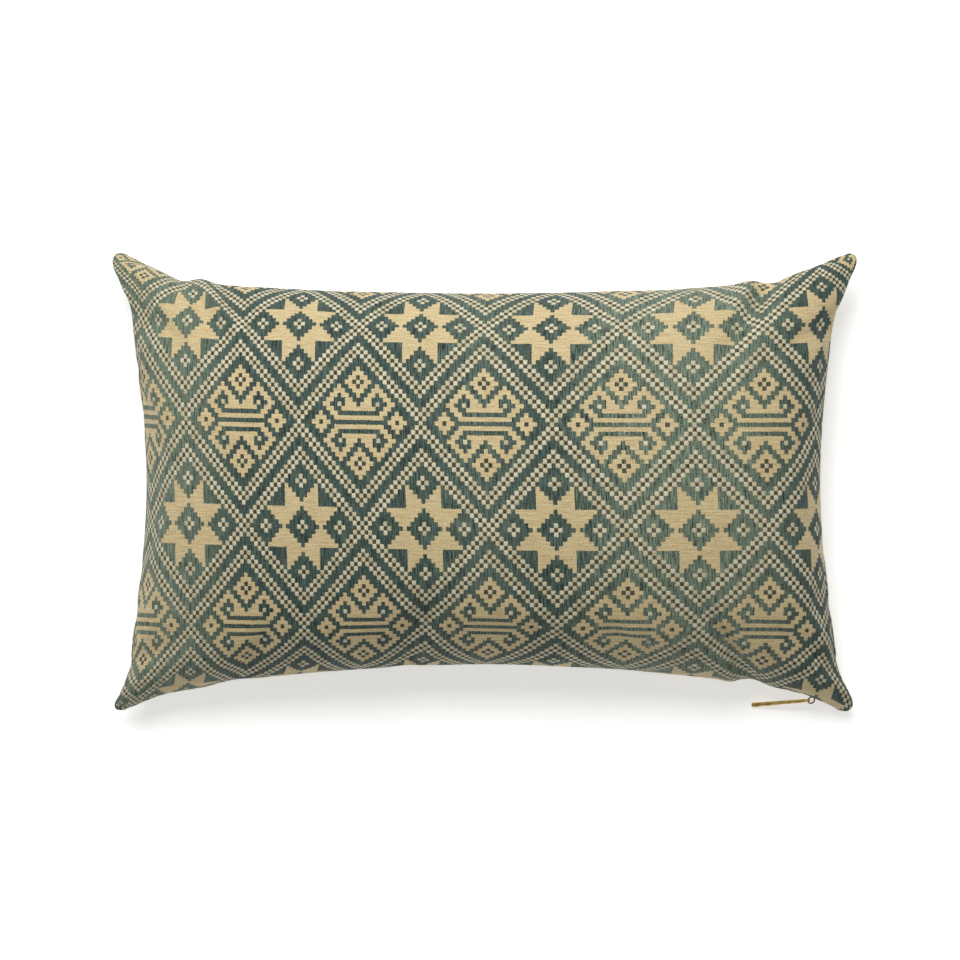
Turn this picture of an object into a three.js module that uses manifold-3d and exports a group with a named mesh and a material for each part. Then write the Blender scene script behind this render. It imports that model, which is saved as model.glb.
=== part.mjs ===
// Lumbar pillow in a brocade cover, lying on its back, with a brass zip pull.
// Millimetres, +Z up, the front of the pillow faces +Z.
import * as THREE from 'three';
import { mergeVertices } from 'three/addons/utils/BufferGeometryUtils.js';
import Module from 'manifold-3d';

const wasm = await Module();
wasm.setup();

// Size of the pillow
const HALF_LENGTH = 250; // middle to the tip of an ear, along X
const HALF_WIDTH = 154; // middle to the tip of an ear, along Y
const SEAM_HEIGHT = 53; // seam above the floor, away from the ears
const FRONT_RISE = 70; // crown above the seam
const BACK_DROP = 60; // belly of the back below the seam before it meets the floor
const LENGTH_FULLNESS = 2.6; // higher is flatter along X with a steeper end
const WIDTH_FULLNESS = 2.1; // the same along Y

// Drawn-in sides. mid is the distance from the pillow's middle to the seam at the
// middle of the side, shoulder is what the side gains on its way to the ears.
const SIDES = {
  top: { mid: 127, shoulder: 9.6, half: HALF_LENGTH, ears: ['topLeft', 'topRight'] },
  bottom: { mid: 124.1, shoulder: 22.3, half: HALF_LENGTH, ears: ['bottomLeft', 'bottomRight'] },
  left: { mid: 227.6, shoulder: 16.8, half: HALF_WIDTH, ears: ['bottomLeft', 'topLeft'] },
  right: { mid: 226.1, shoulder: 16.8, half: HALF_WIDTH, ears: ['bottomRight', 'topRight'] },
};
const SHOULDER_POWER = 1.7;

// Each ear flares out of both sides it joins. flareX is felt over reachX of the
// short side, flareY over reachY of the long side, radius rounds the flat panel's
// corner and droop is the ear's fall below the seam.
const EARS = {
  topLeft: { flareX: 10.6, reachX: 25, flareY: 20.9, reachY: 35.1, radius: 16.3, droop: 22 },
  topRight: { flareX: 10.1, reachX: 28.4, flareY: 18.5, reachY: 39.6, radius: 10.7, droop: 22 },
  bottomLeft: { flareX: 12, reachX: 13.5, flareY: 12, reachY: 34.3, radius: 16.6, droop: 28 },
  bottomRight: { flareX: 11.5, reachX: 21.9, flareY: 14.1, reachY: 30.8, radius: 18.6, droop: 43 },
};
const FLARE_POWER = 1.62;
const DROOP_POWER = 2.6;

// Soft folds that run in from the seam. at is along the side from its middle,
// dent pulls the seam in, depth is the valley on the face, width and reach are
// its spread across and inward, slant is its sideways run per mm inward.
const FOLDS = [
  { side: 'top', at: -199, dent: 2.6, depth: 5.0, width: 9, reach: 46, slant: 0.35 },
  { side: 'top', at: -187, dent: -2.2, depth: -2.5, width: 9, reach: 30, slant: 0.35 },
  { side: 'top', at: -174, dent: 0.8, depth: 3.0, width: 8, reach: 34, slant: 0.3 },
  { side: 'top', at: -96, dent: 0.5, depth: 1.6, width: 16, reach: 40, slant: 0.1 },
  { side: 'top', at: 118, dent: 0.4, depth: 1.8, width: 15, reach: 42, slant: -0.15 },
  { side: 'top', at: 176, dent: -1.6, depth: -2.0, width: 9, reach: 28, slant: -0.3 },
  { side: 'top', at: 191, dent: 2.8, depth: 5.4, width: 9, reach: 50, slant: -0.35 },
  { side: 'bottom', at: -186, dent: -0.8, depth: -1.6, width: 10, reach: 30, slant: 0.3 },
  { side: 'bottom', at: -160, dent: 0.8, depth: 2.6, width: 10, reach: 36, slant: 0.25 },
  { side: 'bottom', at: -50, dent: 1.4, depth: 3.2, width: 9, reach: 38, slant: 0.2 },
  { side: 'bottom', at: 88, dent: 0.5, depth: 1.8, width: 14, reach: 36, slant: -0.1 },
  { side: 'bottom', at: 176, dent: 3.6, depth: 6.0, width: 9, reach: 50, slant: -0.35 },
  { side: 'bottom', at: 162, dent: -1.2, depth: -2.0, width: 9, reach: 28, slant: -0.3 },
  { side: 'left', at: 112, dent: 1.6, depth: 3.6, width: 10, reach: 38, slant: -0.3 },
  { side: 'left', at: -120, dent: 1.0, depth: 3.0, width: 10, reach: 38, slant: 0.3 },
  { side: 'right', at: 106, dent: 1.4, depth: 3.6, width: 10, reach: 40, slant: -0.3 },
  { side: 'right', at: -124, dent: 1.2, depth: 3.4, width: 10, reach: 40, slant: 0.3 },
];
const FOLD_LIFT = 4; // how soon a fold reaches full depth once off the seam

// Grid of each face
const CELLS_LONG = 74;
const CELLS_WIDE = 37;

// Brass pull: bar with a small eye, hung on a link ring that sits in the seam
const RING_RADIUS = 2.3; // centre line
const RING_WIRE = 0.5;
const EYE_RADIUS = 1.35; // centre line
const EYE_WIRE = 0.45;
const METAL_GAP = 0.3; // ring to eye, ring to cloth, bar to floor
const BAR_LENGTH = 39;
const BAR_RADIUS_EYE = 1.1;
const BAR_RADIUS_END = 1.6;
const BAR_EDGE = 0.35; // rounding of the free end
const RING_AT = 215.8; // along the flat panel's bottom side
const RING_OUT = 1.5; // ring centre outside the seam
const BAR_HEADING = 185; // degrees round from +X, seen from above
const RING_TILT = 28; // ring turned about the bar's line
const WIRE_SIDES = 10;
const LOOP_STEPS = 28;
const BAR_SIDES = 24;

const radians = (degrees) => (degrees * Math.PI) / 180;

// Distance from the middle line to the seam, at a place along one side
function outline(side, along) {
  const { mid, shoulder, half, ears } = SIDES[side];
  const ear = EARS[along < 0 ? ears[0] : ears[1]];
  const longSide = half === HALF_LENGTH;
  const [flare, reach] = longSide ? [ear.flareY, ear.reachY] : [ear.flareX, ear.reachX];
  const share = Math.min(Math.abs(along) / half, 1);
  const fromTip = Math.max(half - Math.abs(along), 0);
  return mid + shoulder * share ** SHOULDER_POWER + flare * Math.exp(-((fromTip / reach) ** FLARE_POWER));
}

// Sum of the folds of one side at a place in the flat panel; key is dent or depth
function folds(side, along, inward, key) {
  let sum = 0;
  for (const fold of FOLDS) {
    if (fold.side !== side) continue;
    const across = (along - fold.at - fold.slant * inward) / fold.width;
    const run = inward / fold.reach;
    sum += fold[key] * Math.exp(-(across ** 2) - run ** 2);
  }
  return sum;
}

// One point of the pillow for s and t from -1 to 1; face is 1 front, -1 back, 0 the seam
function pillowPoint(s, t, face) {
  const sideX = s < 0 ? 'left' : 'right';
  const sideY = t < 0 ? 'bottom' : 'top';
  const ear = EARS[sideY + (s < 0 ? 'Left' : 'Right')];
  const q = t * HALF_WIDTH;
  const overRound = Math.max(Math.abs(q) - (HALF_WIDTH - ear.radius), 0);
  const inset = ear.radius - Math.sqrt(Math.max(ear.radius ** 2 - overRound ** 2, 0));
  const p = s * (HALF_LENGTH - inset);
  const inX = HALF_LENGTH - Math.abs(p);
  const inY = HALF_WIDTH - Math.abs(q);
  const dentX = folds(sideX, q, inX, 'dent');
  const dentY = folds(sideY, p, inY, 'dent');
  const x = (p / HALF_LENGTH) * outline(sideX, q) - Math.sign(p) * dentX;
  const y = (q / HALF_WIDTH) * outline(sideY, p) - Math.sign(q) * dentY;

  const seam = SEAM_HEIGHT - ear.droop * Math.abs(s * t) ** DROOP_POWER;
  const swell = Math.sqrt((1 - Math.abs(s) ** LENGTH_FULLNESS) * (1 - Math.abs(t) ** WIDTH_FULLNESS));
  const valley = folds(sideX, q, inX, 'depth') + folds(sideY, p, inY, 'depth');
  const sink = valley * Math.min(swell * FOLD_LIFT, 1);
  if (face > 0) return [x, y, seam + FRONT_RISE * swell - sink];
  return [x, y, Math.max(seam - BACK_DROP * swell + sink, 0)];
}

// Even steps round the belly crowd the grid toward the seam, where it is steepest
const step = (index, count) => Math.sin(((index / count) * 2 - 1) * (Math.PI / 2));

function pillowGeometry() {
  const positions = [];
  const triangles = [];
  const rowLength = CELLS_LONG + 1;
  for (const face of [1, -1]) {
    const first = positions.length / 3;
    for (let j = 0; j <= CELLS_WIDE; j++) {
      for (let i = 0; i <= CELLS_LONG; i++) {
        positions.push(...pillowPoint(step(i, CELLS_LONG), step(j, CELLS_WIDE), face));
      }
    }
    for (let j = 0; j < CELLS_WIDE; j++) {
      for (let i = 0; i < CELLS_LONG; i++) {
        const a = first + j * rowLength + i;
        const [b, c, d] = [a + 1, a + 1 + rowLength, a + rowLength];
        // each quad is cut along the line that points at the nearest ear
        const rising = (i < CELLS_LONG / 2) === (j < CELLS_WIDE / 2);
        const pair = rising ? [[a, b, c], [a, c, d]] : [[a, b, d], [b, c, d]];
        for (const [u, v, w] of pair) triangles.push(...(face > 0 ? [u, v, w] : [u, w, v]));
      }
    }
  }
  const geometry = new THREE.BufferGeometry();
  geometry.setAttribute('position', new THREE.Float32BufferAttribute(positions, 3));
  geometry.setIndex(triangles);
  return mergeVertices(geometry, 1e-3);
}

function toManifold(geometry) {
  const bare = geometry.clone();
  bare.deleteAttribute('normal');
  bare.deleteAttribute('uv');
  const merged = mergeVertices(bare, 1e-4);
  return new wasm.Manifold(new wasm.Mesh({
    numProp: 3,
    vertProperties: new Float32Array(merged.attributes.position.array),
    triVerts: new Uint32Array(merged.index.array),
  }));
}

function fromManifold(solid) {
  const { vertProperties, triVerts } = solid.getMesh();
  const geometry = new THREE.BufferGeometry();
  geometry.setAttribute('position', new THREE.Float32BufferAttribute(vertProperties, 3));
  geometry.setIndex(Array.from(triVerts));
  return geometry;
}

// Ring of round wire about its own Z, then set into a frame of three axes
function loop(radius, wire, frame) {
  return new THREE.TorusGeometry(radius, wire, WIRE_SIDES, LOOP_STEPS).applyMatrix4(frame);
}

// Frame whose X runs down the bar, turned about that line by an angle
function pullFrame(origin, turn, shift) {
  const along = pullAxis.clone();
  const level = new THREE.Vector3(0, 0, 1).cross(along).normalize();
  const up = along.clone().cross(level);
  const y = level.clone().multiplyScalar(Math.cos(turn)).addScaledVector(up, Math.sin(turn));
  const z = along.clone().cross(y);
  const centre = origin.clone().addScaledVector(along, shift);
  return new THREE.Matrix4().makeBasis(along, y, z).setPosition(centre);
}

// The ring sits in the bottom seam beside the bottom right ear
const seamShare = RING_AT / (HALF_LENGTH - EARS.bottomRight.radius);
const seamPoint = new THREE.Vector3(...pillowPoint(seamShare, -1, 0));
const ringCentre = new THREE.Vector3(seamPoint.x, seamPoint.y - RING_OUT, seamPoint.z);

// The bar leans down until its free end is just off the floor
const eyeShift = RING_RADIUS - RING_WIRE - EYE_WIRE - METAL_GAP + EYE_RADIUS;
const barStart = eyeShift + EYE_RADIUS - EYE_WIRE / 2;
const reach = barStart + BAR_LENGTH;
let lean = 0;
for (let pass = 0; pass < 8; pass++) {
  const low = METAL_GAP + BAR_RADIUS_END * Math.cos(lean);
  lean = Math.asin((ringCentre.z - low) / reach);
}
const heading = radians(BAR_HEADING);
const pullAxis = new THREE.Vector3(
  Math.cos(heading) * Math.cos(lean),
  Math.sin(heading) * Math.cos(lean),
  -Math.sin(lean),
);
const ringTurn = radians(RING_TILT);
const eyeTurn = ringTurn + Math.PI / 2;

const barProfile = [
  new THREE.Vector2(0, 0),
  new THREE.Vector2(BAR_RADIUS_EYE - BAR_EDGE, 0),
  new THREE.Vector2(BAR_RADIUS_EYE, BAR_EDGE),
  new THREE.Vector2(BAR_RADIUS_END, BAR_LENGTH - BAR_EDGE),
  new THREE.Vector2(BAR_RADIUS_END - BAR_EDGE, BAR_LENGTH),
  new THREE.Vector2(0, BAR_LENGTH),
];
const barTurn = new THREE.Matrix4().makeRotationZ(-Math.PI / 2);
const bar = new THREE.LatheGeometry(barProfile, BAR_SIDES)
  .applyMatrix4(barTurn)
  .applyMatrix4(pullFrame(ringCentre, eyeTurn, barStart));
const eye = loop(EYE_RADIUS, EYE_WIRE, pullFrame(ringCentre, eyeTurn, eyeShift));
const ring = loop(RING_RADIUS, RING_WIRE, pullFrame(ringCentre, ringTurn, 0));
const ringSeat = loop(RING_RADIUS, RING_WIRE + METAL_GAP, pullFrame(ringCentre, ringTurn, 0));

const cloth = new THREE.MeshStandardMaterial({ color: 0x7d8470, roughness: 0.85, metalness: 0 });
const barBrass = new THREE.MeshStandardMaterial({ color: 0xb8923f, roughness: 0.35, metalness: 1 });
const ringBrass = new THREE.MeshStandardMaterial({ color: 0x8a7038, roughness: 0.42, metalness: 1 });

const solids = [
  ['pillow', fromManifold(toManifold(pillowGeometry()).subtract(toManifold(ringSeat))), cloth],
  ['pull_bar', fromManifold(toManifold(bar).add(toManifold(eye))), barBrass],
  ['pull_ring', fromManifold(toManifold(ring)), ringBrass],
];

// Middle of the pillow's box over the origin, floor at zero
const box = new THREE.Box3();
for (const [, geometry] of solids) box.union(new THREE.Box3().setFromBufferAttribute(geometry.attributes.position));
const middle = box.getCenter(new THREE.Vector3());

const pillow = new THREE.Group();
pillow.name = 'lumbar_pillow';
for (const [name, geometry, material] of solids) {
  geometry.translate(-middle.x, -middle.y, -box.min.z);
  geometry.computeVertexNormals();
  const mesh = new THREE.Mesh(geometry, material);
  mesh.name = name;
  pillow.add(mesh);
}

export default pillow;
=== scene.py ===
"""Lumbar pillow in a star and scroll brocade, lying on its back, with a brass zip pull.

Shapes are worked out in millimetres and put into the meshes in metres.
"""
import math

import bpy
import numpy as np
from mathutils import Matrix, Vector


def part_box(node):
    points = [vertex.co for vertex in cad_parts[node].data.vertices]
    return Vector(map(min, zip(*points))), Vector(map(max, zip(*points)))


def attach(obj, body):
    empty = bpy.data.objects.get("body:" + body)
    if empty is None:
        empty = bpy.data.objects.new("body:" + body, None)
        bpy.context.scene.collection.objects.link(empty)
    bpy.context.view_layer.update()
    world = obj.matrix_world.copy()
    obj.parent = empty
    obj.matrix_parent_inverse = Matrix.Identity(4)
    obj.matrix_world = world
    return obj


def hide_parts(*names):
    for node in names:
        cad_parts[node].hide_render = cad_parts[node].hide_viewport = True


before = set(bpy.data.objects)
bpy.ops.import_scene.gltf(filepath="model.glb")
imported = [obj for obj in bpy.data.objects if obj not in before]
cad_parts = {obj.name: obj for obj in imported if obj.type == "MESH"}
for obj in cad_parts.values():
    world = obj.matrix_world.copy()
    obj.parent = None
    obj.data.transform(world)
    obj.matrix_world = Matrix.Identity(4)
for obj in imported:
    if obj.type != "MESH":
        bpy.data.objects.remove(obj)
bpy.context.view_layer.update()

MM = 0.001

# Size of the pillow
HALF_LENGTH = 250.0  # middle to the tip of an ear, along X
HALF_WIDTH = 154.0  # middle to the tip of an ear, along Y
SEAM_HEIGHT = 53.0  # seam above the floor, away from the ears
FRONT_RISE = 70.0  # crown above the seam
BACK_DROP = 60.0  # belly of the back below the seam before it meets the floor
LENGTH_FULLNESS = 2.6  # higher is flatter along X with a steeper end
WIDTH_FULLNESS = 2.1  # the same along Y

# Drawn-in sides. mid is the distance from the pillow's middle to the seam at the
# middle of the side, shoulder is what the side gains on its way to the ears.
SIDES = {
    "top": dict(mid=127.0, shoulder=9.6),
    "bottom": dict(mid=124.1, shoulder=22.3),
    "left": dict(mid=227.6, shoulder=16.8),
    "right": dict(mid=226.1, shoulder=16.8),
}
SHOULDER_POWER = 1.7  # higher keeps the side straight for longer

# Each ear flares out of both sides it joins: flare_x is felt over reach_x of the short
# side, flare_y over reach_y of the long side. radius rounds the flat panel's corner, and
# droop is the ear's fall below the seam.
EARS = {
    "top left": dict(flare_x=10.6, reach_x=25, flare_y=20.9, reach_y=35.1, radius=16.3, droop=22),
    "top right": dict(flare_x=10.1, reach_x=28.4, flare_y=18.5, reach_y=39.6, radius=10.7, droop=22),
    "bottom left": dict(flare_x=12, reach_x=13.5, flare_y=12, reach_y=34.3, radius=16.6, droop=28),
    "bottom right": dict(flare_x=11.5, reach_x=21.9, flare_y=14.1, reach_y=30.8, radius=18.6, droop=43),
}
FLARE_POWER = 1.62  # higher ends a flare more suddenly
DROOP_POWER = 2.6  # higher keeps the fall closer to the ear's tip

# Soft folds that run in from the seam. at is along the side from its middle, dent
# pulls the seam in, depth is the valley on the face, width and reach are its spread
# across and inward, slant is its sideways run per mm inward.
FOLDS = [
    dict(side="top", at=-199, dent=2.6, depth=5.0, width=9, reach=46, slant=0.35),
    dict(side="top", at=-187, dent=-2.2, depth=-2.5, width=9, reach=30, slant=0.35),
    dict(side="top", at=-174, dent=0.8, depth=3.0, width=8, reach=34, slant=0.3),
    dict(side="top", at=-96, dent=0.5, depth=1.6, width=16, reach=40, slant=0.1),
    dict(side="top", at=118, dent=0.4, depth=1.8, width=15, reach=42, slant=-0.15),
    dict(side="top", at=176, dent=-1.6, depth=-2.0, width=9, reach=28, slant=-0.3),
    dict(side="top", at=191, dent=2.8, depth=5.4, width=9, reach=50, slant=-0.35),
    dict(side="bottom", at=-186, dent=-0.8, depth=-1.6, width=10, reach=30, slant=0.3),
    dict(side="bottom", at=-160, dent=0.8, depth=2.6, width=10, reach=36, slant=0.25),
    dict(side="bottom", at=-50, dent=1.4, depth=3.2, width=9, reach=38, slant=0.2),
    dict(side="bottom", at=88, dent=0.5, depth=1.8, width=14, reach=36, slant=-0.1),
    dict(side="bottom", at=176, dent=3.6, depth=6.0, width=9, reach=50, slant=-0.35),
    dict(side="bottom", at=162, dent=-1.2, depth=-2.0, width=9, reach=28, slant=-0.3),
    dict(side="left", at=112, dent=1.6, depth=3.6, width=10, reach=38, slant=-0.3),
    dict(side="left", at=-120, dent=1.0, depth=3.0, width=10, reach=38, slant=0.3),
    dict(side="right", at=106, dent=1.4, depth=3.6, width=10, reach=40, slant=-0.3),
    dict(side="right", at=-124, dent=1.2, depth=3.4, width=10, reach=40, slant=0.3),
]
FOLD_LIFT = 4.0  # how soon a fold reaches full depth once off the seam

# Grid of each face, before its one subdivision
CELLS_LONG = 132
CELLS_WIDE = 82
BAKE_MARGIN = 0.004  # round each panel in the flat layout

# The cover as cloth
SEAM_TUCK = 1.1  # the stitched line lies this far inside the roll of the panels
SPARE_CLOTH = 0.015  # the panels are cut this share larger than the form they cover
CLOTH_FRAMES = 20
CLOTH_CAP = 2.5  # furthest that a point may move while the cloth settles
CLOTH = dict(
    quality=6,
    mass=0.25,
    tension_stiffness=15,
    compression_stiffness=15,
    shear_stiffness=5,
    bending_stiffness=0.4,
    use_pressure=True,
    uniform_pressure_force=4.0,
    shrink_min=-SPARE_CLOTH,
)

# The brocade's repeat in chart cells. Columns run along X, rows down the face.
REPEAT_COLUMNS = 32
REPEAT_ROWS = 46
CELL_WIDE = 2.73  # one column on the cloth
CELL_HIGH = 3.04  # one row on the cloth
HALF_CLOTH_LONG = 250.0  # half of a panel along the weft
HALF_CLOTH_WIDE = 155.0  # half of a panel along the warp
FRONT_MIDDLE = dict(column=79.4, row=35.4)  # chart place at the middle of the front
BACK_MIDDLE = dict(column=64.0, row=23.0)
CROWD_LEFT = 12.0  # columns by which the weave crowds to the left over half a length
EASE_LEFT = 4.8  # columns by which that eases off at the short sides
LEAN_COLUMNS = 2.3  # columns by which the warp leans over half a width
TURN_COLUMNS = 2.9  # columns by which that lean turns back toward the long sides
LEAN_ROWS = 0.84  # rows by which the weft leans over half a length
BOW_ROWS = 0.96  # rows by which the weft bows over half a length

# Columns and rows by which the weave strays at an ear's tip, where the cloth gathers
STRAY = {
    "top left": dict(columns=-5.8, rows=-10.4),
    "top right": dict(columns=9.8, rows=-3.5),
    "bottom left": dict(columns=-1.9, rows=3.9),
    "bottom right": dict(columns=3.0, rows=-4.3),
}
STRAY_POWER = 8.0  # higher keeps the stray closer to the tip

# The warp was dyed in lots that drift across the cloth in soft bands: the tone of each lot,
# then the chart columns at which a lot is at its fullest
DYE_LOTS = dict(slate="#44544c", middle="#566458", sage="#6a7766")
DYE = [
    (-15, "sage"),
    (0, "sage"),
    (15, "slate"),
    (60, "slate"),
    (80, "middle"),
    (95, "slate"),
    (115, "sage"),
    (140, "sage"),
    (155, "slate"),
    (175, "slate"),
]
DYE_MIX = 24.0  # columns over which neighbouring dyes mix
SLUB = dict(thin=0.12, thick=1.8)  # how far thin and thick warp yarns dull or lift the dye
COOL = (0.86, 0.87, 0.88)  # what a cooler stretch of the warp multiplies the dye by
SHOW_THROUGH = 0.3  # share of the warp that shows between the brown weft

# Weft yarns, from where they lie deep or dark to where they lie proud or light
BROWN = [(0.3, "#2c2414"), (0.65, "#53482e")]
TAN = [(0.36, "#b39c72"), (0.5, "#c9b588"), (0.62, "#d8c89d")]
CREAM = [(0.4, "#aaa280"), (0.6, "#c5bd9d"), (0.8, "#d5cfb4")]

# painted shade: the dark colour laid along the seam's stitched line, where the panels roll into the
# groove, and how much of it the line takes
SEAM_SHADE_COLOUR = "#15160f"
SEAM_SHADE = 0.55  # how much of that colour the stitched line takes

# Noise over the weave, by its repeats to a chart column and to a chart row
GRAIN = {
    "warp": dict(columns=3.4, rows=0.3, detail=3.0),  # slub yarns run up the face
    "weft": dict(columns=0.25, rows=3.0, detail=3.0),  # weft yarns run along it
    "fleck": dict(columns=2.6, rows=2.6, detail=2.0),
    "tint": dict(columns=0.7, rows=0.12, detail=2.0),
    "ripple": dict(columns=0.16, rows=0.06, detail=1.0),
}
FRAY = 0.5  # cells by which the threads wander
WANDER = {"Scale": 2.6, "Detail": 3.0, "Roughness": 0.7}  # noise by which they do

# Relief. LEVEL is how far each part stands up, as a share of a dot's float.
RELIEF = 0.4
LEVEL = dict(satin=0.6, warp=0.35, weft=0.25, ripple=6.0)
DOT_SIZE_RANGE = 0.3  # swell that the largest dots gain over the smallest
DOT_TONE_RANGE = 0.25  # the same for their tone

# Brass pull: bar with a small eye, hung on a link ring that sits in the seam
RING_RADIUS = 2.3  # centre line
RING_WIRE = 0.5
EYE_RADIUS = 1.35  # centre line
EYE_WIRE = 0.45
METAL_GAP = 0.3
BAR_LENGTH = 39.0
BAR_RADIUS_EYE = 1.1
BAR_RADIUS_END = 1.6
BAR_EDGE = 0.35  # rounding of the free end
RING_AT = 215.8  # along the flat panel's bottom side
RING_OUT = 1.5  # ring centre outside the seam
BAR_HEADING = 185.0  # degrees round from +X, seen from above
RING_TILT = 28.0  # degrees by which the ring is turned about the bar's line
LEAN_ROUNDS = 8  # rounds that bring the bar's lean and the height of its end together

# Brass. The ring is dulled by handling, the bar was brushed along its length.
RING_BRASS = dict(name="tarnished_brass", colour="#9a8148", worn_colour="#6b5730", roughness=0.45)
BAR_BRASS = dict(name="brushed_brass", colour="#e3c47c", worn_colour="#b08f4a", roughness=0.42)
BRUSHING = (150, 1600, 1600)  # strokes to a metre along X, which is nearly the bar's line, and across
WEAR = 260.0  # worn patches to a metre


# Nodes and meshes


def linear(colour):
    """sRGB hex text to a linear RGBA tuple."""
    channels = [int(colour[i : i + 2], 16) / 255 for i in (1, 3, 5)]
    light = [c / 12.92 if c <= 0.04045 else ((c + 0.055) / 1.055) ** 2.4 for c in channels]
    return (*light, 1.0)


def node(tree, kind, inputs=(), stops=(), **settings):
    """Adds one node. inputs are values, sockets or nodes, by place in a list or by name in a
    dict, and a node stands for its first output. stops are a colour ramp's places and sRGB
    hex colours."""
    added = tree.nodes.new(kind)
    for key, value in settings.items():
        setattr(added, key, value)
    pairs = inputs.items() if isinstance(inputs, dict) else enumerate(inputs)
    for key, value in pairs:
        if isinstance(value, bpy.types.Node):
            value = value.outputs[0]
        if isinstance(value, bpy.types.NodeSocket):
            tree.links.new(value, added.inputs[key])
        else:
            added.inputs[key].default_value = value
    while stops and len(added.color_ramp.elements) < len(stops):
        added.color_ramp.elements.new(0.5)
    for number, (place, colour) in enumerate(stops):
        added.color_ramp.elements[number].position = place
        added.color_ramp.elements[number].color = linear(colour)
    return added


def new_material(name):
    """A node material with nothing in it yet, and its tree."""
    material = bpy.data.materials.new(name)
    material.use_nodes = True
    material.node_tree.nodes.clear()
    return material, material.node_tree


def mesh_piece(name, points, faces, material):
    """A smooth mesh object at the origin from points in mm and a list of faces."""
    mesh = bpy.data.meshes.new(name)
    mesh.from_pydata((points * MM).tolist(), [], faces)
    mesh.shade_smooth()
    mesh.materials.append(material)
    piece = bpy.data.objects.new(name, mesh)
    bpy.context.scene.collection.objects.link(piece)
    return piece


def read_points(mesh):
    """The mesh's points as an array, in metres."""
    points = np.empty(len(mesh.vertices) * 3, np.float32)
    mesh.vertices.foreach_get("co", points)
    return points.reshape(-1, 3).astype(float)


def cell_corners(grid):
    """The four values round each cell of a grid, anticlockwise seen from the front."""
    return np.stack([grid[:-1, :-1], grid[:-1, 1:], grid[1:, 1:], grid[1:, :-1]], axis=2)


# Form of the pillow


def of_ears(p, q, key, table=EARS):
    """The table's value for the quarter that holds the panel place (p, q)."""
    bottom = np.where(p < 0, table["bottom left"][key], table["bottom right"][key])
    top = np.where(p < 0, table["top left"][key], table["top right"][key])
    return np.where(q < 0, bottom, top)


def seam_distance(low_side, high_side, place, along, half, flare, reach):
    """Distance from the middle line to the seam, for a pair of opposite sides.

    It is the side's middle, plus a shoulder that grows as a power of the share of the half
    side, plus the ear's flare, which fades away from the ear's tip as an exponential."""
    low, high = SIDES[low_side], SIDES[high_side]
    mid = np.where(place < 0, low["mid"], high["mid"])
    shoulder = np.where(place < 0, low["shoulder"], high["shoulder"])
    share = np.minimum(np.abs(along) / half, 1)
    from_tip = np.maximum(half - np.abs(along), 0)
    flared = flare * np.exp(-((from_tip / reach) ** FLARE_POWER))
    return mid + shoulder * share**SHOULDER_POWER + flared


def side_folds(side, along, inward, key):
    """Sum of one side's folds. Each is Gaussian across its line and fades as a Gaussian of
    the distance in from the seam."""
    total = np.zeros(np.shape(along))
    for fold in FOLDS:
        if fold["side"] == side:
            across = (along - fold["at"] - fold["slant"] * inward) / fold["width"]
            total += fold[key] * np.exp(-(across**2) - (inward / fold["reach"]) ** 2)
    return total


def pillow_surface(s, t, face):
    """Points of one face, in mm, for s and t from -1 to 1. face is 1 front or -1 back.

    In plan the flat panel's place (p, q) is stretched until its edges land on the drawn-in
    seam. In height a face leaves the seam by its rise times the swell, the square root of
    (1 - |s| to its fullness) times (1 - |t| to its fullness), less the folds' valleys. The
    back is cut flat where it meets the floor."""
    q = t * HALF_WIDTH
    radius = of_ears(s, t, "radius")
    over_round = np.maximum(np.abs(q) - (HALF_WIDTH - radius), 0)
    inset = radius - np.sqrt(np.maximum(radius**2 - over_round**2, 0))
    p = s * (HALF_LENGTH - inset)
    in_x = HALF_LENGTH - np.abs(p)
    in_y = HALF_WIDTH - np.abs(q)

    def folds_of_x(key):
        return np.where(p < 0, side_folds("left", q, in_x, key), side_folds("right", q, in_x, key))

    def folds_of_y(key):
        return np.where(q < 0, side_folds("bottom", p, in_y, key), side_folds("top", p, in_y, key))

    ear_x = of_ears(p, q, "flare_x"), of_ears(p, q, "reach_x")
    ear_y = of_ears(p, q, "flare_y"), of_ears(p, q, "reach_y")
    seam_x = seam_distance("left", "right", p, q, HALF_WIDTH, *ear_x)
    seam_y = seam_distance("bottom", "top", q, p, HALF_LENGTH, *ear_y)
    x = p / HALF_LENGTH * seam_x - np.sign(p) * folds_of_x("dent")
    y = q / HALF_WIDTH * seam_y - np.sign(q) * folds_of_y("dent")

    seam = SEAM_HEIGHT - of_ears(p, q, "droop") * np.abs(s * t) ** DROOP_POWER
    squared_swell = (1 - np.abs(s) ** LENGTH_FULLNESS) * (1 - np.abs(t) ** WIDTH_FULLNESS)
    swell = np.sqrt(np.maximum(squared_swell, 0))
    sink = (folds_of_x("depth") + folds_of_y("depth")) * np.minimum(swell * FOLD_LIFT, 1)
    if face > 0:
        z = seam + FRONT_RISE * swell - sink
    else:
        z = np.maximum(seam - BACK_DROP * swell + sink, 0)
    return np.stack([x, y, z], axis=-1)


def ring_centre_on_seam():
    """The ring's centre as the pillow's own sizes give it, just outside the bottom seam."""
    share = RING_AT / (HALF_LENGTH - EARS["bottom right"]["radius"])
    seam_point = pillow_surface(np.array(share), np.array(-1.0), 1)
    return seam_point - np.array([0, RING_OUT, 0])


def box_middle(node_name):
    """Middle of a CAD node's box, in mm."""
    low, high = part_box(node_name)
    return np.array((low + high) / 2) / MM


RING_CENTRE = box_middle("pull_ring")
TO_FRAME = RING_CENTRE - ring_centre_on_seam()  # from the pillow's middle to the frame


def arc_from_middle(points, axis):
    """Length along each grid line from its middle, by adding up its steps."""
    steps = np.linalg.norm(np.diff(points, axis=axis), axis=-1)
    length = np.insert(np.cumsum(steps, axis=axis), 0, 0, axis=axis)
    return length - np.take(length, [length.shape[axis] // 2], axis=axis)


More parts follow.
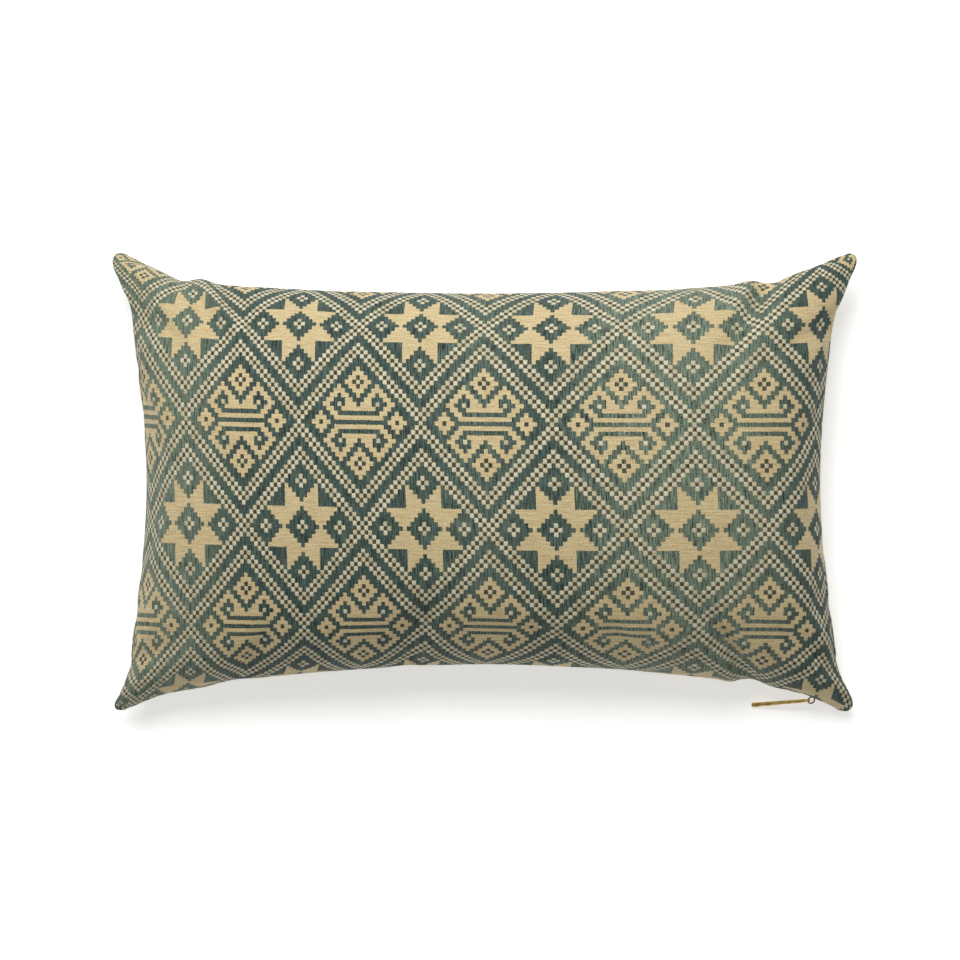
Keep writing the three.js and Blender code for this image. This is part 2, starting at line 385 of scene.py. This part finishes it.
def weave_place(s, t, points, middle):
    """Chart column and row at each grid point.

    The cloth lies along the surface, so both come from arc lengths. The warp and the weft
    lean a little, which for the warp turns back as the cube of the length. The columns
    crowd to the left and the rows bow as the square of the length, and the crowding eases
    as its fourth power. Near an ear's tip the weave strays as a high power of s and t."""
    along_weft = arc_from_middle(points, 1)
    along_warp = arc_from_middle(points, 0)
    share_long = along_weft / HALF_CLOTH_LONG
    share_wide = along_warp / HALF_CLOTH_WIDE
    at_tip = np.abs(s * t) ** STRAY_POWER
    crowd = EASE_LEFT * share_long**4 - CROWD_LEFT * share_long**2
    lean = LEAN_COLUMNS * share_wide - TURN_COLUMNS * share_wide**3
    column = middle["column"] + along_weft / CELL_WIDE + crowd + lean
    column += at_tip * of_ears(s, t, "columns", STRAY)
    bow = BOW_ROWS * share_long**2 - LEAN_ROWS * share_long
    row = middle["row"] - along_warp / CELL_HIGH + bow + at_tip * of_ears(s, t, "rows", STRAY)
    return np.stack([column, row], axis=-1)


def even_steps(count):
    """Steps from -1 to 1 that crowd toward both ends, where the pillow is steepest."""
    return np.sin(np.linspace(-1, 1, count + 1) * math.pi / 2)


def pillow_cover(material):
    """The closed cover: a front and a back grid that share the points of the seam."""
    s, t = np.meshgrid(even_steps(CELLS_LONG), even_steps(CELLS_WIDE))
    front = pillow_surface(s, t, 1)
    back = pillow_surface(s, t, -1)
    weave = [weave_place(s, t, front, FRONT_MIDDLE), weave_place(s, t, back, BACK_MIDDLE)]

    on_short_side = np.abs(s) > 1 - 1e-9
    on_long_side = np.abs(t) > 1 - 1e-9
    front[..., 0] -= SEAM_TUCK * np.sign(s) * on_short_side
    front[..., 1] -= SEAM_TUCK * np.sign(t) * on_long_side
    on_seam = on_short_side | on_long_side
    front_index = np.arange(s.size).reshape(s.shape)
    back_index = front_index.copy()
    back_index[~on_seam] = s.size + np.arange(np.count_nonzero(~on_seam))
    points = np.concatenate([front.reshape(-1, 3), back[~on_seam]]) + TO_FRAME

    def both_faces(front_grid, back_grid):
        """Corner values of all cells, front then back, the back's order turned to face out."""
        width = front_grid.shape[2:]
        ahead = cell_corners(front_grid).reshape(-1, 4, *width)
        behind = cell_corners(back_grid).reshape(-1, 4, *width)[:, ::-1]
        return np.concatenate([ahead, behind])

    faces = both_faces(front_index, back_index).tolist()
    cover = mesh_piece("pillow_cover", points, faces, material)

    across, up = (s + 1) / 2, (t + 1) / 2
    u = BAKE_MARGIN + across * (1 - 2 * BAKE_MARGIN)
    v = BAKE_MARGIN + up * (0.5 - 2 * BAKE_MARGIN)
    layout = [np.stack([u, v + 0.5], axis=-1), np.stack([u, v], axis=-1)]
    for name, places in (("OFBake", layout), ("Weave", weave)):
        layer = cover.data.uv_layers.new(name=name)
        layer.data.foreach_set("uv", both_faces(*places).astype(np.float32).ravel())

    # the seam's points hold the cloth as it settles and mark where the brocade takes its painted seam
    # shade
    seam = np.zeros(len(points), np.float32)
    seam[front_index[on_seam]] = 1
    cover.data.attributes.new("seam", "FLOAT", "POINT").data.foreach_set("value", seam)
    return cover


def settle_cloth(cover):
    """Blows the cover up as cloth that is held at its seam and cut a little large, so that
    its spare cloth gathers there. Of each point's move the part square to the face is kept,
    up to a cap, and none ends below the floor."""
    start = read_points(cover.data)
    outward = np.empty(start.size, np.float32)
    cover.data.vertices.foreach_get("normal", outward)
    outward = outward.reshape(-1, 3).astype(float)
    seam = np.empty(len(start), np.float32)
    cover.data.attributes["seam"].data.foreach_get("value", seam)
    stitching = cover.vertex_groups.new(name="stitching")
    stitching.add(np.flatnonzero(seam > 0.5).tolist(), 1.0, "REPLACE")

    cloth = cover.modifiers.new("cloth", "CLOTH")
    for key, value in CLOTH.items():
        setattr(cloth.settings, key, value)
    cloth.settings.vertex_group_mass = stitching.name
    cloth.settings.effector_weights.gravity = 0
    cloth.collision_settings.use_collision = False
    cloth.point_cache.frame_start = 1
    cloth.point_cache.frame_end = CLOTH_FRAMES
    for number in range(1, CLOTH_FRAMES + 1):
        bpy.context.scene.frame_set(number)

    settled = cover.evaluated_get(bpy.context.evaluated_depsgraph_get())
    moved = read_points(settled.data) - start
    cover.modifiers.remove(cloth)
    cover.vertex_groups.clear()
    bpy.context.scene.frame_set(1)

    cap = CLOTH_CAP * MM
    distance = (moved * outward).sum(axis=1, keepdims=True)
    finished = start + outward * cap * np.tanh(distance / cap)
    finished[:, 2] = np.maximum(finished[:, 2], 0)
    cover.data.vertices.foreach_set("co", finished.astype(np.float32).ravel())
    cover.data.update()


def subdivide_once(piece):
    """One level of subdivision surface, live on the piece."""
    smooth = piece.modifiers.new("fine", "SUBSURF")
    smooth.levels = 1
    smooth.render_levels = 1


# Brocade

# How a chart cell's yarn is found from its column and row, one step a line: the name of
# the result, the maths operation and what it works on. The chart is the same in all four
# quarters of a repeat, so column and row are folded into one quarter, with a star's heart
# at 0, 0 and a scroll's heart at 16, 23.
QUARTER_COLUMNS = REPEAT_COLUMNS // 2
QUARTER_ROWS = REPEAT_ROWS // 2
CHART = [
    ("column", "PINGPONG", "across", QUARTER_COLUMNS),
    ("row", "PINGPONG", "down", QUARTER_ROWS),
    ("c", "ROUND", "column"),
    ("r", "ROUND", "row"),
    ("diagonal", "ADD", "c", "r"),
    # two dotted bands along the lattice: 0 on a band's brown line, 1 on its dots
    ("inner", "SUBTRACT", "diagonal", 16),
    ("inner", "ABSOLUTE", "inner"),
    ("outer", "SUBTRACT", "diagonal", 22),
    ("outer", "ABSOLUTE", "outer"),
    ("band", "MINIMUM", "inner", "outer"),
    # rosettes at the star's heart and tips: 0 heart, 1 petals, to 4 the dark lozenge
    ("side", "SUBTRACT", "c", 10),
    ("side", "ABSOLUTE", "side"),
    ("side", "ADD", "side", "r"),
    ("tip", "SUBTRACT", "r", 10),
    ("tip", "ABSOLUTE", "tip"),
    ("tip", "ADD", "tip", "c"),
    ("rosette", "MINIMUM", "diagonal", "side"),
    ("rosette", "MINIMUM", "rosette", "tip"),
    # star: a cross of broad arms less its rosettes
    ("least", "MINIMUM", "c", "r"),
    ("most", "MAXIMUM", "c", "r"),
    ("arm", "LESS_THAN", "least", 4.5),
    ("arm_end", "LESS_THAN", "most", 9.5),
    ("clear", "GREATER_THAN", "rosette", 4.5),
    ("star", "MULTIPLY", "arm", "arm_end"),
    ("star", "MULTIPLY", "star", "clear"),
    # scroll, counted from its own heart
    ("h", "SUBTRACT", QUARTER_COLUMNS, "c"),
    ("k", "SUBTRACT", QUARTER_ROWS, "r"),
    ("lozenge", "SUBTRACT", "k", 9),
    ("lozenge", "ABSOLUTE", "lozenge"),
    ("lozenge", "ADD", "lozenge", "h"),
    ("flower", "SUBTRACT", "h", 10),
    ("flower", "ABSOLUTE", "flower"),
    ("flower", "ADD", "flower", "k"),
    ("curl_h", "SUBTRACT", "h", 5),
    ("curl_h", "ABSOLUTE", "curl_h"),
    ("curl", "SUBTRACT", "k", 4),
    ("curl", "ABSOLUTE", "curl"),
    ("curl", "ADD", "curl", "curl_h"),
    ("past", "GREATER_THAN", "h", 5.5),
    ("past", "ADD", "past", "k"),
    ("past", "GREATER_THAN", "past", 2.5),
    ("ring", "COMPARE", "curl", 3.5, 0.6),
    ("ring", "MULTIPLY", "ring", "past"),
    ("bar_row", "COMPARE", "k", 1, 0.1),
    ("bar", "LESS_THAN", "h", 6.5),
    ("bar", "MULTIPLY", "bar", "bar_row"),
    ("body_row", "COMPARE", "k", 3, 0.1),
    ("body", "LESS_THAN", "h", 4.5),
    ("body", "MULTIPLY", "body", "body_row"),
    ("neck_row", "COMPARE", "k", 4, 0.1),
    ("neck", "COMPARE", "h", 3, 0.1),
    ("neck", "MULTIPLY", "neck", "neck_row"),
    ("lozenge_face", "COMPARE", "lozenge", 2.5, 0.6),
    ("flower_face", "COMPARE", "flower", 1.5, 0.6),
    ("scroll", "MAXIMUM", "ring", "bar"),
    ("scroll", "MAXIMUM", "scroll", "body"),
    ("scroll", "MAXIMUM", "scroll", "neck"),
    ("scroll", "MAXIMUM", "scroll", "lozenge_face"),
    ("scroll", "MAXIMUM", "scroll", "flower_face"),
    # fields: the star lies inside the bands, the scroll outside them
    ("in_star", "LESS_THAN", "diagonal", 14.5),
    ("in_scroll", "GREATER_THAN", "diagonal", 23.5),
    ("star", "MULTIPLY", "star", "in_star"),
    ("scroll", "MULTIPLY", "scroll", "in_scroll"),
    ("satin", "MAXIMUM", "star", "scroll"),
    # cream dots
    ("band_dot", "COMPARE", "band", 1, 0.1),
    ("petal", "COMPARE", "rosette", 1, 0.1),
    ("petal", "MULTIPLY", "petal", "in_star"),
    ("pip", "MINIMUM", "lozenge", "curl"),
    ("pip", "COMPARE", "pip", 0, 0.1),
    ("pip", "MULTIPLY", "pip", "in_scroll"),
    ("dot", "MAXIMUM", "band_dot", "petal"),
    ("dot", "MAXIMUM", "dot", "pip"),
    # brown cells
    ("band_line", "COMPARE", "band", 0, 0.1),
    ("heart", "COMPARE", "rosette", 0, 0.1),
    ("heart", "MULTIPLY", "heart", "in_star"),
    ("lozenge_dark", "COMPARE", "lozenge", 1, 0.1),
    ("flower_dark", "COMPARE", "flower", 0, 0.1),
    ("scroll_dark", "MAXIMUM", "lozenge_dark", "flower_dark"),
    ("scroll_dark", "MULTIPLY", "scroll_dark", "in_scroll"),
    ("brown", "MAXIMUM", "band_line", "heart"),
    ("brown", "MAXIMUM", "brown", "scroll_dark"),
    # swell of a dot's float: 1 in its middle, 0 at its cell's edge and below 0 where it
    # laps over the brown cells that lie between the dots
    ("off_column", "SUBTRACT", "column", "c"),
    ("off_column", "ABSOLUTE", "off_column"),
    ("off_row", "SUBTRACT", "row", "r"),
    ("off_row", "ABSOLUTE", "off_row"),
    ("far", "MAXIMUM", "off_column", "off_row"),
    ("near", "MINIMUM", "off_column", "off_row"),
    ("between", "MAXIMUM", "band_line", "heart"),
    ("from_dot", "MULTIPLY", "far", -2),
    ("from_dot", "ADD", "from_dot", 1),
    ("far", "MULTIPLY_ADD", "between", "from_dot", "far"),
    ("far", "MULTIPLY", "far", 2),
    ("far", "POWER", "far", 4),
    ("near", "MULTIPLY", "near", 2),
    ("near", "POWER", "near", 4),
    ("swell", "ADD", "far", "near"),
    ("swell", "SUBTRACT", 1, "swell"),
    ("float", "ADD", "dot", "between"),
]


# A Mix node's colour sockets go by number, because its other kinds share their names
FIRST = 6
SECOND = 7
MIXED = 2


def chart_values(tree, across, down):
    """Works through CHART as maths nodes and returns every result by its name."""
    values = {"across": across, "down": down}
    for result, operation, *sources in CHART:
        inputs = [values.get(source, source) for source in sources]
        values[result] = node(tree, "ShaderNodeMath", inputs, operation=operation)
    return values


def brocade():
    """Jacquard brocade: a slub warp in drifting teal that shows as fine upright streaks,
    raised floats of matt cream and tan weft, and brown weft between the dots."""
    material, tree = new_material("woven_brocade")
    weave = node(tree, "ShaderNodeUVMap", uv_map="Weave")

    # threads wander by a fraction of a cell, which frays the edge of every figure
    wander = node(tree, "ShaderNodeTexNoise", {"Vector": weave, **WANDER}).outputs["Color"]
    fray = node(tree, "ShaderNodeVectorMath", [wander, (0.5, 0.5, 0.5)], operation="SUBTRACT")
    fray = node(tree, "ShaderNodeVectorMath", [fray, (FRAY, FRAY, 0)], operation="MULTIPLY")
    frayed = node(tree, "ShaderNodeVectorMath", [weave, fray], operation="ADD")
    place = node(tree, "ShaderNodeSeparateXYZ", [frayed])
    chart = chart_values(tree, place.outputs["X"], place.outputs["Y"])

    grain = {}
    for name, row in GRAIN.items():
        scale = (row["columns"], row["rows"], 1)
        stretched = node(tree, "ShaderNodeMapping", {"Vector": weave, "Scale": scale})
        noise = {"Vector": stretched, "Scale": 1.0, "Detail": row["detail"]}
        grain[name] = node(tree, "ShaderNodeTexNoise", noise)

    # the dye drifts from column to column, and threads of neighbouring lots mix
    first, last = DYE[0][0], DYE[-1][0]
    low, high = first + DYE_MIX / 2, last + DYE_MIX / 2
    inputs = [grain["warp"], DYE_MIX, chart["across"]]
    strayed = node(tree, "ShaderNodeMath", inputs, operation="MULTIPLY_ADD")
    dyed = node(tree, "ShaderNodeMapRange", [strayed, low, high, 0.0, 1.0])
    stops = [((column - first) / (last - first), DYE_LOTS[lot]) for column, lot in DYE]
    drift = node(tree, "ShaderNodeValToRGB", [dyed], stops)

    # a slub yarn is here thick and light, there thin and dark
    slub = node(tree, "ShaderNodeMath", [grain["fleck"], 0.5, grain["warp"]], operation="MULTIPLY_ADD")
    slub = node(tree, "ShaderNodeMapRange", [slub, 0.54, 0.94, SLUB["thin"], SLUB["thick"]])
    teal = {"Vector": drift, "Scale": slub.outputs[0]}
    teal = node(tree, "ShaderNodeVectorMath", teal, operation="SCALE")
    cool = node(tree, "ShaderNodeMapRange", [grain["tint"], 0.42, 0.6, 0.0, 1.0])
    cooled = node(tree, "ShaderNodeVectorMath", [teal, COOL], operation="MULTIPLY")
    inputs = {"Factor": cool, FIRST: teal, SECOND: cooled}
    teal = node(tree, "ShaderNodeMix", inputs, data_type="RGBA").outputs[MIXED]

    brown = node(tree, "ShaderNodeValToRGB", [grain["warp"]], BROWN)
    inputs = {"Factor": SHOW_THROUGH, FIRST: brown, SECOND: teal}
    brown = node(tree, "ShaderNodeMix", inputs, data_type="RGBA").outputs[MIXED]

    matt = node(tree, "ShaderNodeMath", [grain["weft"], grain["fleck"]], operation="ADD")
    matt = node(tree, "ShaderNodeMath", [matt, 0.5], operation="MULTIPLY")
    tan = node(tree, "ShaderNodeValToRGB", [matt], TAN)

    # every dot is a float of its own, a little larger, smaller, lighter or darker
    cell_column = node(tree, "ShaderNodeMath", [chart["across"]], operation="ROUND")
    cell_row = node(tree, "ShaderNodeMath", [chart["down"]], operation="ROUND")
    cell = node(tree, "ShaderNodeCombineXYZ", [cell_column, cell_row])
    chance = node(tree, "ShaderNodeTexWhiteNoise", {"Vector": cell}, noise_dimensions="2D")
    inputs = [chance, DOT_SIZE_RANGE, chart["swell"]]
    size = node(tree, "ShaderNodeMath", inputs, operation="MULTIPLY_ADD")
    inside = node(tree, "ShaderNodeMapRange", [size, -0.5, -0.2, 0.0, 1.0])
    dot = node(tree, "ShaderNodeMath", [chart["float"], inside], operation="MULTIPLY")
    tone = node(tree, "ShaderNodeMath", [chance, DOT_TONE_RANGE, matt], operation="MULTIPLY_ADD")
    cream = node(tree, "ShaderNodeValToRGB", [tone], CREAM)

    # painted shade along the seam's stitched line, where the panels roll into the groove
    stitched = node(tree, "ShaderNodeAttribute", attribute_name="seam").outputs["Fac"]
    shade = node(tree, "ShaderNodeMapRange", [stitched, 0.45, 0.9, 0.0, SEAM_SHADE])

    colour = teal
    layers = [
        (chart["brown"], brown),
        (chart["satin"], tan),
        (dot, cream),
        (shade, linear(SEAM_SHADE_COLOUR)),
    ]
    for share, yarn in layers:
        inputs = {"Factor": share, FIRST: colour, SECOND: yarn}
        colour = node(tree, "ShaderNodeMix", inputs, data_type="RGBA").outputs[MIXED]

    # floats stand proud of the ground: a dot swells over its cell, satin lies level
    dome = node(tree, "ShaderNodeMapRange", [chart["swell"], -0.6, 1.0, 0.0, 1.0])
    height = node(tree, "ShaderNodeMath", [dot, dome], operation="MULTIPLY")
    for part, raised in {"satin": chart["satin"], **grain}.items():
        if part in LEVEL:
            inputs = [raised, LEVEL[part], height]
            height = node(tree, "ShaderNodeMath", inputs, operation="MULTIPLY_ADD")
    inputs = {"Strength": 0.8, "Distance": RELIEF * MM, "Height": height}
    relief = node(tree, "ShaderNodeBump", inputs)

    figure = node(tree, "ShaderNodeMath", [chart["satin"], dot], operation="MAXIMUM")
    roughness = node(tree, "ShaderNodeMapRange", [figure, 0.0, 1.0, 0.85, 0.65])
    inputs = {
        "Base Color": colour,
        "Roughness": roughness,
        "Normal": relief,
        "Sheen Weight": 0.08,
        "Sheen Roughness": 0.5,
        "Specular IOR Level": 0.25,
    }
    surface = node(tree, "ShaderNodeBsdfPrincipled", inputs)
    node(tree, "ShaderNodeOutputMaterial", {"Surface": surface})
    return material


# Brass pull


def brass(name, colour, worn_colour, roughness):
    """Drawn brass, brushed along its length and handled, so that it is duller and darker in
    patches."""
    material, tree = new_material(name)
    place = node(tree, "ShaderNodeTexCoord").outputs["Object"]
    brushed = node(tree, "ShaderNodeMapping", {"Vector": place, "Scale": BRUSHING})
    stroke = node(tree, "ShaderNodeTexNoise", {"Vector": brushed, "Scale": 1.0, "Detail": 3.0})
    patches = node(tree, "ShaderNodeTexNoise", {"Vector": place, "Scale": WEAR, "Detail": 3.0})
    worn = node(tree, "ShaderNodeMapRange", [patches, 0.45, 0.68, 0.0, 1.0])
    inputs = {"Factor": worn, FIRST: linear(colour), SECOND: linear(worn_colour)}
    tone = node(tree, "ShaderNodeMix", inputs, data_type="RGBA").outputs[MIXED]
    dull = node(tree, "ShaderNodeMapRange", [stroke, 0.3, 0.7, roughness - 0.08, roughness + 0.1])
    scratch = node(tree, "ShaderNodeBump", {"Strength": 0.35, "Distance": 0.05 * MM, "Height": stroke})
    inputs = {"Base Color": tone, "Metallic": 1.0, "Roughness": dull, "Normal": scratch}
    surface = node(tree, "ShaderNodeBsdfPrincipled", inputs)
    node(tree, "ShaderNodeOutputMaterial", {"Surface": surface})
    return material


def pull_axes():
    """Direction down the bar, a level one across it and one up from both. The bar leans
    until its free end is just off the floor."""
    eye_shift = RING_RADIUS - RING_WIRE - EYE_WIRE - METAL_GAP + EYE_RADIUS
    bar_start = eye_shift + EYE_RADIUS - EYE_WIRE / 2
    lean = 0.0
    for _ in range(LEAN_ROUNDS):
        low = METAL_GAP + BAR_RADIUS_END * math.cos(lean)
        lean = math.asin((RING_CENTRE[2] - low) / (bar_start + BAR_LENGTH))
    heading = math.radians(BAR_HEADING)
    flat = math.cos(lean)
    along = np.array([math.cos(heading) * flat, math.sin(heading) * flat, -math.sin(lean)])
    level = np.cross([0, 0, 1], along)
    level /= np.linalg.norm(level)
    return along, level, np.cross(along, level), eye_shift, bar_start


def wire_loop(radius, wire, turn, shift, loop_steps=64, wire_steps=16):
    """Points and faces of a ring of round wire: a circle of the wire's radius carried round
    a circle of the ring's radius, in a plane turned about the bar's line."""
    along, level, up, _, _ = pull_axes()
    sideways = level * math.cos(turn) + up * math.sin(turn)
    normal = np.cross(along, sideways)
    round_ring, round_wire = np.meshgrid(
        np.arange(loop_steps) * 2 * math.pi / loop_steps,
        np.arange(wire_steps) * 2 * math.pi / wire_steps,
        indexing="ij",
    )
    out = (radius + wire * np.cos(round_wire))[..., None]
    points = RING_CENTRE + along * shift
    points = points + out * np.cos(round_ring)[..., None] * along
    points = points + out * np.sin(round_ring)[..., None] * sideways
    points = points + (wire * np.sin(round_wire))[..., None] * normal
    index = np.arange(loop_steps * wire_steps).reshape(loop_steps, wire_steps)
    index = np.pad(index, ((0, 1), (0, 1)), mode="wrap")
    return points.reshape(-1, 3), cell_corners(index).reshape(-1, 4)[:, ::-1].tolist()


def turned_bar(start, length, sides=40):
    """Points and faces of the bar: a radius profile with rounded edges, carried round and
    along its line, and closed by a disc at either end."""
    along, level, up, _, _ = pull_axes()
    bend = np.linspace(0, math.pi / 2, 5)
    toward = BAR_EDGE * (1 - np.cos(bend))
    away = BAR_EDGE * (1 - np.sin(bend))
    eye_end = np.stack([toward, BAR_RADIUS_EYE - away], axis=1)
    free_end = np.stack([length - away, BAR_RADIUS_END - toward], axis=1)
    profile = np.concatenate([eye_end, free_end])
    angle = np.arange(sides) * 2 * math.pi / sides
    spread = np.cos(angle)[:, None] * level + np.sin(angle)[:, None] * up
    centre = RING_CENTRE + along * (start + profile[:, :1])
    points = centre[:, None, :] + profile[:, 1][:, None, None] * spread[None]
    index = np.arange(len(profile) * sides).reshape(len(profile), sides)
    sheet = cell_corners(np.pad(index, ((0, 0), (0, 1)), mode="wrap")).reshape(-1, 4)
    discs = [index[0, ::-1].tolist(), index[-1].tolist()]
    return points.reshape(-1, 3), sheet.tolist() + discs


def pull_pieces():
    """The bar with its eye and the ring that it hangs on."""
    _, _, _, eye_shift, bar_start = pull_axes()
    ring_turn = math.radians(RING_TILT)
    ring_points, ring_faces = wire_loop(RING_RADIUS, RING_WIRE, ring_turn, 0)
    eye_points, eye_faces = wire_loop(EYE_RADIUS, EYE_WIRE, ring_turn + math.pi / 2, eye_shift)
    bar_points, bar_faces = turned_bar(bar_start, BAR_LENGTH)
    ring = mesh_piece("zip_ring", ring_points, ring_faces, brass(**RING_BRASS))
    bar = mesh_piece(
        "zip_bar",
        np.concatenate([bar_points, eye_points]),
        bar_faces + [[corner + len(bar_points) for corner in face] for face in eye_faces],
        brass(**BAR_BRASS),
    )
    return bar, ring


# Studio

PIXEL = 0.67  # mm of the pillow's seam plane that one pixel of a 960 pixel frame covers
FRAME_PIXELS = 960
PILLOW_AT = (484.5, 481.0)  # pixel of the pillow's middle, from the frame's top left
CAMERA_HEIGHT = 12000.0  # far off with a long lens, as the photograph shows no perspective
LIGHTS = [
    dict(name="key", place=(-0.25, 1.15, 2.0), size=1.5, power=48.0),
    dict(name="fill", place=(0.0, -0.6, 2.6), size=2.2, power=3.0),
]
SKY = 0.18
FLOOR_GLOW = 0.5  # keeps the paper white round the shadow, as it is in the photograph
FLOOR_HALF = 6000.0
SENSOR_WIDTH = 36.0
FARTHEST_SEEN = 40000.0


def studio():
    """A pale floor, soft lights and a camera straight above the pillow."""
    material, tree = new_material("white_paper")
    inputs = {
        "Base Color": linear("#f6f6f6"),
        "Roughness": 0.9,
        "Emission Color": linear("#ffffff"),
        "Emission Strength": FLOOR_GLOW,
    }
    surface = node(tree, "ShaderNodeBsdfPrincipled", inputs)
    node(tree, "ShaderNodeOutputMaterial", {"Surface": surface})
    corners = FLOOR_HALF * np.array([[-1, -1, 0], [1, -1, 0], [1, 1, 0], [-1, 1, 0]])
    floor = mesh_piece("floor", corners, [[0, 1, 2, 3]], material)

    for row in LIGHTS:
        lamp = bpy.data.lights.new(row["name"], "AREA")
        lamp.shape = "DISK"
        lamp.size = row["size"]
        lamp.energy = row["power"]
        light = bpy.data.objects.new(row["name"], lamp)
        light.location = row["place"]
        light.rotation_euler = (-Vector(row["place"])).to_track_quat("-Z", "Y").to_euler()
        bpy.context.scene.collection.objects.link(light)

    world = bpy.data.worlds.new("studio")
    world.use_nodes = True
    background = world.node_tree.nodes["Background"]
    background.inputs["Color"].default_value = linear("#ffffff")
    background.inputs["Strength"].default_value = SKY
    bpy.context.scene.world = world
    bpy.context.scene.view_settings.view_transform = "Standard"

    lens = bpy.data.cameras.new("camera")
    lens.sensor_width = SENSOR_WIDTH
    lens.lens = lens.sensor_width * (CAMERA_HEIGHT - SEAM_HEIGHT) / (FRAME_PIXELS * PIXEL)
    lens.clip_end = FARTHEST_SEEN * MM
    camera = bpy.data.objects.new("camera", lens)
    right = (FRAME_PIXELS / 2 - PILLOW_AT[0]) * PIXEL
    up = (PILLOW_AT[1] - FRAME_PIXELS / 2) * PIXEL
    camera.location = Vector((TO_FRAME[0] + right, TO_FRAME[1] + up, CAMERA_HEIGHT)) * MM
    bpy.context.scene.collection.objects.link(camera)
    bpy.context.scene.camera = camera


studio()
cover = pillow_cover(brocade())
settle_cloth(cover)
subdivide_once(cover)
bar, ring = pull_pieces()

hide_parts("pillow")
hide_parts("pull_bar")
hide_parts("pull_ring")
for piece, slot in ((cover, "brocade"), (bar, "brass_bar"), (ring, "brass_ring")):
    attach(piece, "root")
